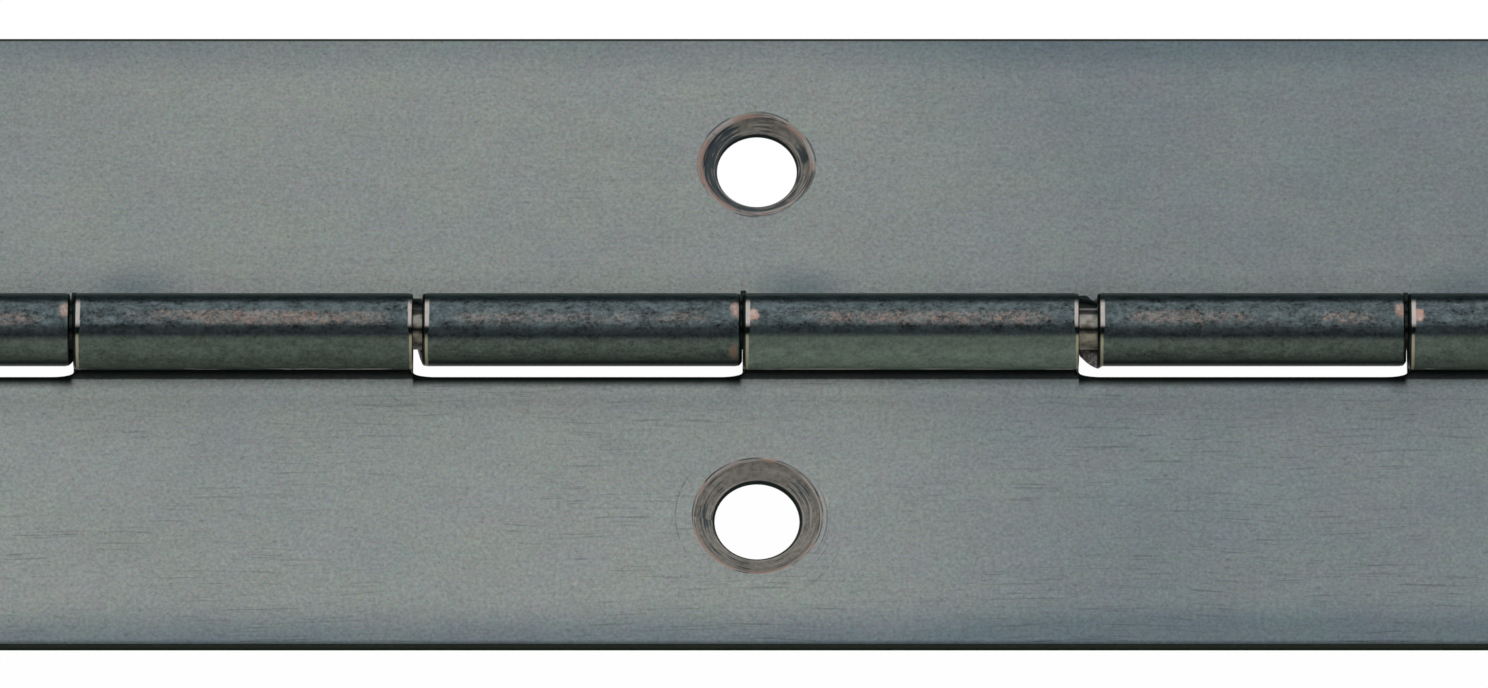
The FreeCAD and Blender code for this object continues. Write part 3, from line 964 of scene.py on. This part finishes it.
    def lay_blobs(self, glow, use):
        """Worn pink patches beside the ends, where neighbouring knuckles have rubbed."""
        reach = self.ragged.stray(1.1)
        if self.side == LOWER:
            blob = self.from_left.hump(0.40, 0.40) * self.turn.hump(-5.0, 19.0) * glow.rise(0.45, 0.6)
        else:
            blob = self.from_right.hump(0.16, 0.36) * self.turn.hump(5.0, 24.0)
            low = self.from_right.hump(0.26, 0.32) * self.turn.hump(-66.0, 25.0) * use.rise(0.5, 0.2)
            self.coat((low + reach).rise(0.15, 0.70) * self.barrel * 0.85, "rust")
        strength = self.size.blob
        self.coat((blob + reach).rise(0.15, 0.70) * blob.rise(0.0, 0.1) * self.barrel * strength, "copper")
        shine = self.noise(0.14, 1.0, 2.0, 0.6, 81.0, across=1.5).rise(0.50, 0.62)
        self.coat((blob + reach).rise(0.45, 0.8) * shine * self.barrel * strength * 0.7, "bare")

    def lay_rings(self):
        """A black chamfer at a knuckle's left end, which is painted shade where it faces the gap, and a bare
        ring beside it with a painted dark reflection band across its front.
        """
        turn, radius = self.turn, self.size.barrel_radius
        ring_gap = self.from_left - self.size.ring_inset
        if self.side == LOWER:
            ring_gap = ring_gap.least(self.from_right)
        outside = self.reach.rise(radius - 0.14, radius - 0.08)
        worn = (ring_gap + self.ragged.stray(0.07) + turn.rise(-30.0, -36.0) * 0.05).rise(0.20, 0.15)
        worn = worn * ring_gap.rise(0.0, 0.025) * outside * turn.rise(30.0, 22.0) * self.barrel
        if self.side == UPPER:
            worn = worn * self.from_right.rise(0.5, 0.6)
        # Painted dark reflection band across the ring's front, between its bare top and the ochre tarnish
        # below.
        tarnish_and_shade = self.blend(turn.rise(-22.0, -27.0), "bare", "soot")
        tarnish_and_shade = self.blend(turn.rise(-34.0, -40.0), tarnish_and_shade, "ochre")
        self.coat(worn * (0.65 + self.ragged * 0.5).clear(), tarnish_and_shade)
        # Painted shade: a black line at the very end, where the knuckle faces the gap.
        end_shade_line = ring_gap.rise(0.025, -0.005) * self.from_left.rise(-0.02, 0.0)
        if self.side == UPPER:
            end_shade_line = end_shade_line.most(self.from_right.rise(0.08, 0.03))
        self.coat(end_shade_line * self.barrel * outside, "soot")

    def lay_edges(self):
        """Dark oxide on cut edges, painted shade in the crease where a curl comes back and down the lower
        leaf's rolled free edge; returns where they are, and the rim.
        """
        size = self.size
        self.coat(self.cut * (0.75 + self.ragged * 0.5).clear(), "cut")
        # Painted shade along the foot of the knuckles: where a curl comes back to its leaf, and along the
        # notches' front edges under the other leaf's knuckles.
        notch = self.from_left.rise(0.05, -0.15).most(self.from_right.rise(0.03, -0.02))
        notch = notch * abs(self.x).rise(size.half_length - 0.1, size.half_length - 0.3)
        beyond = self.out_y - size.notch - self.ragged.stray(0.04)
        inside = beyond.rise(0.20, 0.12) * 0.84
        if self.side == UPPER:
            slant = mixed(self.is_odd, 0.09, self.from_left.rise(-0.12, -0.42) * 0.22)
            narrow = self.from_right.rise(0.03, -0.03) * self.from_right.rise(-0.3, -0.2) * 0.35
            outside = (beyond - slant * self.from_left.rise(-1.1, -0.9) - narrow).rise(0.11, 0.05)
        else:
            outside = beyond.rise(0.60, 0.17)
        crease_shade = mixed(notch, inside, outside) * self.over(0.10, 0.04)
        crease_shade = crease_shade * self.z.rise(0.05, 0.2) * self.out_y.rise(0.5, 0.8)
        self.coat(crease_shade, "soot")
        free = size.leaf_width - self.out_y
        if self.side == UPPER:
            rim = free.rise(0.15, 0.10) * self.flat
        else:
            # Partly painted shade: the cut edge's dark oxide is laid as a ramp down the rolled-over free
            # edge, standing in for its shade.
            rim = self.z.rise(size.thickness - 0.05, 0.10) * free.rise(0.42, 0.34)
        self.coat(rim * 0.95, "cut")
        return crease_shade.most(rim), rim

    def lay_holes(self):
        """Countersinks: a streaky copper lip, a dull cone with tool rings and painted light on its far wall,
        a black throat.
        """
        size, sink, throat = self.size, self.size.sink, self.size.throat
        span = size.hole_span / 4
        off_x = self.math("WRAP", self.x - size.hole_shift, span, -span)
        off_y = self.y - self.side * (size.hole_distance + size.sink_shift)
        away = self.math("SQRT", off_x * off_x + off_y * off_y)
        bearing = self.math("ARCTAN2", off_y, off_x)
        rim = away
        if self.side == UPPER:
            swell = self.math("COSINE", bearing * 4.0) * FOUR_WAVES
            swell = swell + self.math("COSINE", WAVE_TURN - bearing) * ONE_WAVE
            rim = away / (1.0 + swell * size.rim_waves)
        polar = self.node("CombineXYZ", {0: away / 0.07, 1: bearing * 1.1, 2: self.side * 3.0})
        streaks = self.noise_at(polar, 3.0, 0.65)
        around = self.node("CombineXYZ", {0: off_x / away * 2.2, 1: off_y / away * 2.2, 2: self.side * 7.0})
        patch = self.noise_at(around, 1.0, 0.5)
        facing = self.math("COSINE", bearing + size.facing_turn)
        leaning = patch - facing * size.leaning
        patch = patch + facing * 0.10

        behind = self.tint_now
        light = self.blend(self.ragged.rise(0.40, 0.65) * 0.6, "olive", "brown")
        # Painted light: the cone's far wall, towards the knuckles, is lighter.
        rear_shading = self.math("SINE", bearing).rise(0.55, 0.95)
        lit = (streaks + leaning.stray(0.5) + rear_shading * 0.12).rise(size.wall_start, size.wall_start + 0.12)
        wall = self.blend(streaks.rise(0.56, 0.66) * 0.5, self.blend(lit, "ink", light), "bare")
        self.coat(rim.rise(sink + 0.03, sink - 0.02), wall)

        metal = self.blend(streaks.rise(0.40, 0.55), "umber", "bare")
        metal = self.blend(patch.rise(0.46, 0.58) * 0.8, metal, "copper")
        lip = rim.hump(sink - size.lip_inset, size.lip_width).rise(0.1, 0.4)
        self.coat(lip * (self.ragged.rise(0.20, 0.45) * 0.9), metal)
        self.coat(rim.hump(sink + 0.04, 0.05) * patch.rise(0.56, 0.44) * 0.7, "soot")
        self.coat(away.hump(throat + 0.14, 0.05) * streaks.rise(0.35, 0.6) * 0.5, "bare")
        if self.side == LOWER:
            spiral = away - bearing * 0.08
            self.coat(spiral.hump(throat + 0.35, 0.06) * bearing.hump(0.4, 0.8) * 0.6, "ink")
            arc = spiral.hump(throat + 0.42, 0.05) * bearing.hump(0.1, 1.1) * streaks.rise(0.3, 0.5)
            self.coat(arc * 0.75, "bare")
        self.coat(away.rise(throat + size.throat_line + 0.04, throat + size.throat_line), "soot")
        self.lay_scuffs(away, bearing, streaks)
        self.tint_now = self.blend(self.z.rise(0.02, 0.06), behind, self.tint_now)

    def lay_scuffs(self, away, bearing, streaks):
        """Arcs that the tools left on the flat round a countersink, and a burr."""
        sink = self.size.sink
        near = away.rise(sink + 1.1, sink + 0.3) * away.rise(sink + 0.08, sink + 0.14) * self.flat
        if self.side == UPPER:
            self.coat(streaks.rise(0.64, 0.74) * near * 0.2, "soot")
            return
        facing = abs(bearing).rise(1.3, 0.6)
        self.coat(streaks.rise(0.56, 0.66) * near * (0.10 + facing * 0.35), "soot")
        self.coat(streaks.rise(0.44, 0.36) * near * facing * 0.22, "bare")
        left_arc = away.hump(3.12, 0.05) * abs(bearing).rise(2.3, 2.7)
        right_arc = (away + bearing * 0.25).hump(3.3, 0.05) * bearing.hump(-0.75, 0.55)
        self.coat(left_arc.most(right_arc) * self.ragged.rise(0.35, 0.5) * 0.4, "soot")
        spiral = away + bearing * 0.06
        self.coat(spiral.hump(sink + 0.22, 0.05) * bearing.hump(-0.1, 0.8) * 0.5, "soot")
        burr = away.hump(2.73, 0.10) * bearing.hump(0.26, 0.12)
        ring = spiral.hump(sink + 0.13, 0.05) * bearing.hump(0.0, 0.9)
        self.coat(burr.most(ring * 0.6) * 0.8, "bare")

    def surface(self):
        """Lays every coat and returns the material."""
        self.lay_flats()
        marks = self.lay_marks()
        rubbed, front, root = self.lay_knuckles()
        self.lay_holes()
        dull, rim = self.lay_edges()
        dull = dull.most(self.cut)
        side = front * self.barrel
        rough = 0.42 - self.barrel * 0.18 + side * 0.20 + self.grain.stray(0.12) + rubbed * 0.1 + dull * 0.1
        metal = 0.30 + self.barrel * 0.62 - side * 0.72 + dull * 0.4 + rim * 0.3
        metal = metal - self.inner * 0.9 - root * 0.9
        inputs = {"Base Color": self.tint_now, "Roughness": rough, "Metallic": metal.clear()}
        inputs["Specular Tint"] = (0.4, 0.45, 0.45)
        height = self.grain.stray(0.8) + self.rub.stray(0.3) - marks
        return self.finish(inputs, height, depth=0.004, strength=0.8)


def pin_material(name, sizes, finish):
    """Drawn steel wire with a thin stain, a painted dark reflection band in front, painted shade over its
    back and where the knuckles nearly touch, and a painted highlight in every second pair.
    """
    mat = Shader(name, finish, "steel")
    size = leaf_sizes(sizes, LOWER)
    drawn = mat.noise(0.05, 30.0, 3.0, 0.6)
    stain = mat.noise(0.35, 1.0, 3.0, 0.6, 5.0)
    turn = mat.turned(mat.z - size.barrel_radius)
    start = mat.x + size.half_length
    below = turn.rise(-38.0, -46.0)
    above = turn.hump(44.0, 14.0) * mat.odd_pair(start, size.pitch)
    mat.coat(stain.rise(0.42, 0.66), "stain")
    mat.coat(below * stain.rise(0.66, 0.44) * 0.9, "ochre")
    # Painted dark reflection band along the pin's front.
    mat.coat(turn.hump(-30.0, 8.0) * 0.85, "soot")
    # Painted shade over the pin's back, between the knuckles.
    mat.coat(turn.rise(10.0, 18.0) * 0.8, "soot")
    # Painted highlight along the pin's back in every second pair.
    mat.coat(above * 0.8, "bare")
    # Painted shade where the knuckles nearly touch.
    mat.coat(mat.math("PINGPONG", start, size.pitch / 2).rise(0.30, 0.22) * 0.9, "soot")
    inputs = {"Base Color": mat.tint_now, "Roughness": 0.24 + drawn * 0.16 + below * 0.15}
    inputs["Metallic"] = 1.0 - below * 0.8 - above * 0.8
    return mat.finish(inputs, drawn, depth=0.004, strength=0.6)


def floor_material(name, white):
    """A pale floor that looks plain white and keeps a soft shadow."""
    mat = Shader(name)
    path = mat.node("LightPath", {}, "Is Camera Ray")
    seen = (path + path.out("Is Glossy Ray") + path.out("Is Transmission Ray")).clear()
    paint = mat.node("BsdfDiffuse", {"Color": (0.9, 0.9, 0.9)})
    glow = mat.node("Emission", {"Color": (1.0, 1.0, 1.0), "Strength": 1.0})
    return mat.close(mat.node("MixShader", {0: seen * white, 1: paint, 2: glow}))


# ---------------------------------------------------------------- operators


def settle(piece, body, node, material):
    """Gives a piece its material and its body, and hides the CAD node that it stands for."""
    piece.data.materials.append(material)
    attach(piece, body)
    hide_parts(node)


class HINGE_OT_leaves(bpy.types.Operator):
    """Builds both leaves with their knuckles and countersunk holes"""

    bl_idname = "hinge.leaves"
    bl_label = "Build Leaves"

    def execute(self, context):
        sizes, finish = context.scene.hinge_sizes, context.scene.hinge_finish
        for side, word in ((LOWER, "lower"), (UPPER, "upper")):
            leaf = make_leaf(word + "_leaf_metal", side, sizes)
            material = LeafFinish(word + " leaf patina", side, sizes, finish).surface()
            settle(leaf, word, word + "_leaf", material)
        return {"FINISHED"}


class HINGE_OT_pin(bpy.types.Operator):
    """Builds the pin that the knuckles turn on"""

    bl_idname = "hinge.pin"
    bl_label = "Build Pin"

    def execute(self, context):
        sizes, finish = context.scene.hinge_sizes, context.scene.hinge_finish
        pin = make_pin("pin_wire", sizes)
        settle(pin, "lower", "hinge_pin", pin_material("drawn steel", sizes, finish))
        return {"FINISHED"}


class HINGE_OT_studio(bpy.types.Operator):
    """Builds the floor, the lamps, the room and the camera"""

    bl_idname = "hinge.studio"
    bl_label = "Build Studio"

    def execute(self, context):
        studio = context.scene.hinge_studio
        self.add_floor(studio)
        self.add_lamp("overhead softbox", lean=27.0, size=(2.0, 1.6), level=studio.key_level)
        self.add_lamp("low softbox", lean=-74.0, size=(1.8, 0.5), level=studio.low_level)
        self.add_room(context, studio)
        self.add_camera(context, studio)
        context.scene.view_settings.view_transform = "Standard"
        return {"FINISHED"}

    def add_floor(self, studio):
        """A plain floor, low enough for the upper leaf to swing down."""
        bm = bmesh.new()
        bmesh.ops.create_grid(bm, x_segments=1, y_segments=1, size=FLOOR_HALF)
        bmesh.ops.translate(bm, verts=bm.verts, vec=(0.0, 0.0, -CAD.leaf_width * MM))
        floor = link_mesh(bm, "studio_floor")
        floor.data.materials.append(floor_material("floor paint", studio.floor_white))

    def add_lamp(self, name, lean, size, level):
        """A rectangular softbox that leans from straight above towards the upper leaf, by degrees."""
        lamp = bpy.data.lights.new(name, "AREA")
        lamp.shape = "RECTANGLE"
        lamp.size, lamp.size_y = size
        lamp.energy = level * math.pi * size[0] * size[1]
        holder = add_object(name, lamp)
        lean = math.radians(lean)
        holder.location = (0.0, LAMP_DISTANCE * math.sin(lean), LAMP_DISTANCE * math.cos(lean))
        holder.rotation_euler = (-lean, 0.0, 0.0)

    def add_room(self, context, studio):
        """An even grey room round the hinge."""
        world = bpy.data.worlds.new("studio room")
        world.use_nodes = True
        background = world.node_tree.nodes["Background"]
        background.inputs["Color"].default_value = ROOM_TINT
        background.inputs["Strength"].default_value = studio.room_level
        context.scene.world = world

    def add_camera(self, context, studio):
        """The camera above the lower leaf, level with the hinge's length."""
        lens = bpy.data.cameras.new("camera")
        lens.sensor_fit = "HORIZONTAL"
        lens.angle = 2 * math.atan(studio.view_width / 2 / studio.distance)
        lens.clip_start = 0.01
        holder = add_object("camera", lens)
        tilt = studio.tilt
        pin = Vector((studio.look_shift, 0.0, CAD.barrel_radius * MM))
        back = Vector((0.0, -math.sin(tilt), math.cos(tilt)))
        up = Vector((0.0, math.cos(tilt), math.sin(tilt)))
        holder.location = pin + back * studio.distance - up * studio.look_drop
        holder.rotation_euler = (tilt, 0.0, 0.0)
        context.scene.camera = holder


class HINGE_PT_panel(bpy.types.Panel):
    """Lists the steps that build the hinge"""

    bl_idname = "HINGE_PT_panel"
    bl_label = "Piano Hinge"
    bl_space_type = "VIEW_3D"
    bl_region_type = "UI"
    bl_category = "Hinge"

    def draw(self, context):
        for operator in OPERATORS:
            self.layout.operator(operator.bl_idname)
        for group in (context.scene.hinge_sizes, context.scene.hinge_finish, context.scene.hinge_studio):
            box = self.layout.box()
            for name in group.__annotations__:
                box.prop(group, name)


GROUPS = {"hinge_sizes": HingeSizes, "hinge_finish": HingeFinish, "hinge_studio": HingeStudio}
OPERATORS = (HINGE_OT_leaves, HINGE_OT_pin, HINGE_OT_studio)


def register():
    """Adds the classes and hangs their properties on the scene."""
    for item in (*GROUPS.values(), *OPERATORS, HINGE_PT_panel):
        bpy.utils.register_class(item)
    for name, group in GROUPS.items():
        setattr(bpy.types.Scene, name, bpy.props.PointerProperty(type=group))


def unregister():
    """Takes the properties and the classes away again."""
    for name in GROUPS:
        delattr(bpy.types.Scene, name)
    for item in reversed((*GROUPS.values(), *OPERATORS, HINGE_PT_panel)):
        bpy.utils.unregister_class(item)


def main():
    """Builds the hinge and its studio."""
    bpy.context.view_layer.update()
    register()
    bpy.ops.hinge.leaves()
    bpy.ops.hinge.pin()
    bpy.ops.hinge.studio()
    bpy.context.view_layer.update()


if __name__ == "__main__":
    main()
